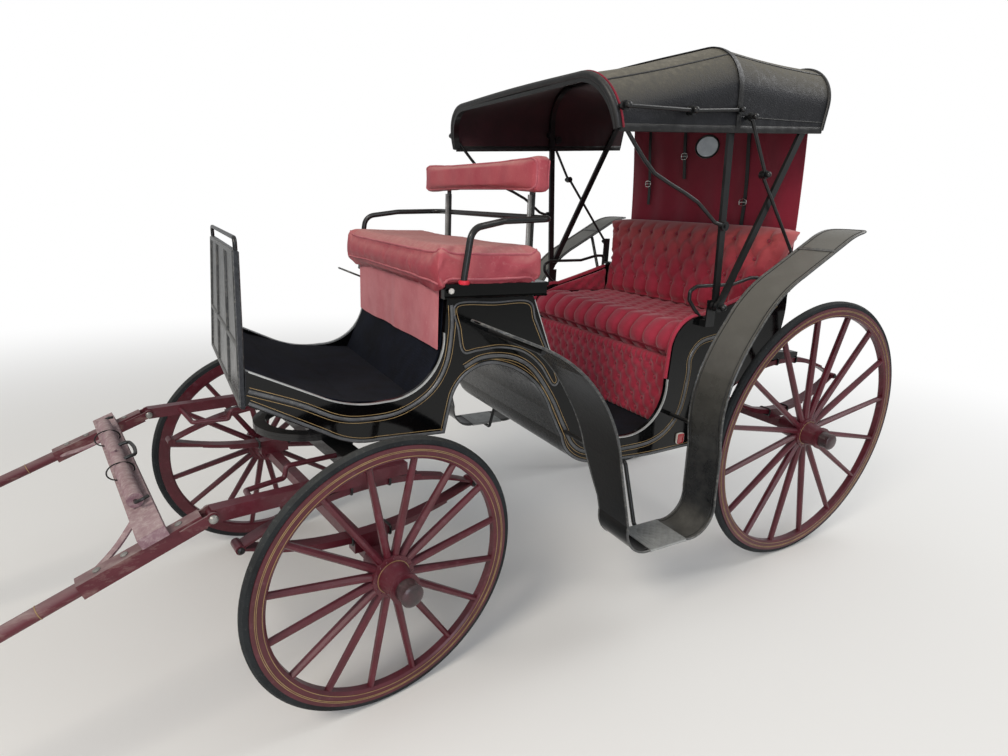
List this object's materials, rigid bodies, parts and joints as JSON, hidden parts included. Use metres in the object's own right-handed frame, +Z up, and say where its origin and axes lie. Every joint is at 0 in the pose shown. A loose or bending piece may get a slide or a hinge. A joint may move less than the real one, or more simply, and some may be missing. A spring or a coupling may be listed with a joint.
{
  "type": "horse drawn carriage",
  "caption": "Open carriage for one horse: hooded rear seat, coachman's seat over an arched body, steered front carriage, elliptic springs, mudguards with steps and hinged shafts.",
  "frame": {"origin": "on the ground at the middle of the box round the carriage as it stands, shafts included", "axes": "+X forward towards the shafts, +Y to the carriage's left, +Z up"},
  "size_m": [5.0181, 1.51, 2.029],
  "materials": {
    "wheel_paint": "worn crimson paint on timber",
    "tyre_rubber": "dusty black rubber",
    "black_iron": "black paint on iron",
    "crimson_iron": "worn crimson paint on spring steel",
    "body_paint": "gloss black coach paint on timber",
    "black_leather": "black leather, dusty on top",
    "red_cloth": "rose red buttoned cloth",
    "pink_cloth": "faded pink cloth",
    "shaft_timber": "worn crimson paint on ash",
    "step_iron": "bare worn iron",
    "bright_iron": "bare bright iron",
    "floor_cloth": "boards under dark carpet",
    "window_glass": "clear pane"
  },
  "bodies": {
    "carriage_body": {"body_side_left": "body_paint", "body_side_right": "body_paint", "floor_boards": "floor_cloth", "cutunder_panel": "body_paint", "back_panel": "body_paint", "seat_risers": "body_paint", "box_plinth": "body_paint", "dash_panel": "black_leather", "dash_rail": "black_iron", "box_cushion": "pink_cloth", "box_apron": "pink_cloth", "box_rail": "bright_iron", "box_backrest_pad": "pink_cloth", "seat_fall": "red_cloth", "seat_cushion": "red_cloth", "seat_backrest": "red_cloth", "seat_squabs": "red_cloth", "arm_rails": "black_iron", "front_wings": "black_leather", "rear_wings": "black_leather", "steps": "step_iron", "wing_irons": "black_iron", "rear_body_irons": "black_iron", "rear_springs": "crimson_iron", "rear_axle": "crimson_iron", "turning_plate_upper": "black_iron", "hood_pivots": "black_iron"},
    "front_carriage": {"front_axle": "crimson_iron", "front_springs": "crimson_iron", "turning_plate_lower": "black_iron", "futchells": "crimson_iron"},
    "rear_left_wheel": {"wheel_rear_left": "wheel_paint", "tyre_rear_left": "tyre_rubber"},
    "rear_right_wheel": {"wheel_rear_right": "wheel_paint", "tyre_rear_right": "tyre_rubber"},
    "front_left_wheel": {"wheel_front_left": "wheel_paint", "tyre_front_left": "tyre_rubber"},
    "front_right_wheel": {"wheel_front_right": "wheel_paint", "tyre_front_right": "tyre_rubber"},
    "shaft_pair": {"shafts": "shaft_timber", "shaft_crossbar": "shaft_timber"},
    "swingletree_bar": {"swingletree": "shaft_timber"},
    "hood_rear": {"hood_rear_bow": "black_iron", "hood_curtain": "red_cloth", "hood_window": "window_glass"},
    "hood_main": {"hood_main_bow": "black_iron", "hood_roof_rear": "black_leather"},
    "hood_front": {"hood_front_bow": "black_iron", "hood_roof_front": "black_leather"},
    "prop_lower_link": {"prop_lower": "black_iron"},
    "prop_upper_link": {"prop_upper": "black_iron"},
    "top_iron_rear_link": {"top_iron_rear": "black_iron"},
    "top_iron_front_link": {"top_iron_front": "black_iron"}
  },
  "joints": [
    {"name": "steering", "type": "hinge", "parent": "carriage_body", "child": "front_carriage", "pos_m": [0.06683, 0, 0.73], "axis": [0, 0, 1], "range_deg": [-88, 71]},
    {"name": "rear_left_spin", "type": "hinge", "parent": "carriage_body", "child": "rear_left_wheel", "pos_m": [-1.92717, 0.6, 0.58158], "axis": [0, 0.9993, -0.0384], "continuous": true},
    {"name": "rear_right_spin", "type": "hinge", "parent": "carriage_body", "child": "rear_right_wheel", "pos_m": [-1.92717, -0.6, 0.58158], "axis": [0, 0.9993, 0.0384], "continuous": true},
    {"name": "front_left_spin", "type": "hinge", "parent": "front_carriage", "child": "front_left_wheel", "pos_m": [-0.02345, 0.61137, 0.42894], "axis": [-0.1461, 0.9891, -0.0175], "continuous": true},
    {"name": "front_right_spin", "type": "hinge", "parent": "front_carriage", "child": "front_right_wheel", "pos_m": [0.15711, -0.61137, 0.42894], "axis": [-0.1461, 0.9891, 0.0175], "continuous": true},
    {"name": "shafts_lift", "type": "hinge", "parent": "front_carriage", "child": "shaft_pair", "pos_m": [0.50211, 0.06428, 0.6935], "axis": [0.1461, -0.9893, 0], "range_deg": [0, 75]},
    {"name": "swingletree_swing", "type": "hinge", "parent": "shaft_pair", "child": "swingletree_bar", "pos_m": [0.64736, 0.08572, 0.71644], "axis": [0.34, 0.0502, 0.9391], "range_deg": [-10, 10]},
    {"name": "hood_fold", "type": "hinge", "parent": "carriage_body", "child": "hood_rear", "pos_m": [-1.28217, 0, 1.162], "axis": [0, -1, 0], "range_deg": [0, 27], "deforming": ["hood_curtain", "hood_window"]},
    {"name": "hood_main_fold", "type": "hinge", "parent": "hood_rear", "child": "hood_main", "pos_m": [-1.28217, 0, 1.162], "axis": [0, -1, 0], "range_deg": [0, 21.01], "deforming": ["hood_roof_rear"]},
    {"name": "hood_front_fold", "type": "hinge", "parent": "hood_main", "child": "hood_front", "pos_m": [-1.25517, 0, 1.447], "axis": [0, -1, 0], "range_deg": [0, 42.01], "deforming": ["hood_roof_front"]},
    {"name": "prop_lower_fold", "type": "hinge", "parent": "carriage_body", "child": "prop_lower_link", "pos_m": [-1.64717, 0, 1.322], "axis": [0, -1, 0], "range_deg": [0, 32.01]},
    {"name": "prop_upper_fold", "type": "hinge", "parent": "hood_main", "child": "prop_upper_link", "pos_m": [-1.27717, 0, 1.802], "axis": [0, -1, 0], "range_deg": [0, 110.61]},
    {"name": "top_iron_rear_fold", "type": "hinge", "parent": "hood_main", "child": "top_iron_rear_link", "pos_m": [-1.23217, 0, 1.82], "axis": [0, -1, 0], "range_deg": [-3.51, 0]},
    {"name": "top_iron_front_fold", "type": "hinge", "parent": "hood_front", "child": "top_iron_front_link", "pos_m": [-0.73717, 0, 1.779], "axis": [0, -1, 0], "range_deg": [0, 68.51]}
  ],
  "couplings": [
    {"joint": "hood_main_fold", "follows": "hood_fold", "ratio": 0.77778},
    {"joint": "hood_front_fold", "follows": "hood_fold", "ratio": 1.5556},
    {"joint": "prop_lower_fold", "follows": "hood_fold", "ratio": 1.1852},
    {"joint": "prop_upper_fold", "follows": "hood_fold", "ratio": 4.0963},
    {"joint": "top_iron_rear_fold", "follows": "hood_fold", "ratio": -0.12963},
    {"joint": "top_iron_front_fold", "follows": "hood_fold", "ratio": 2.537}
  ]
}
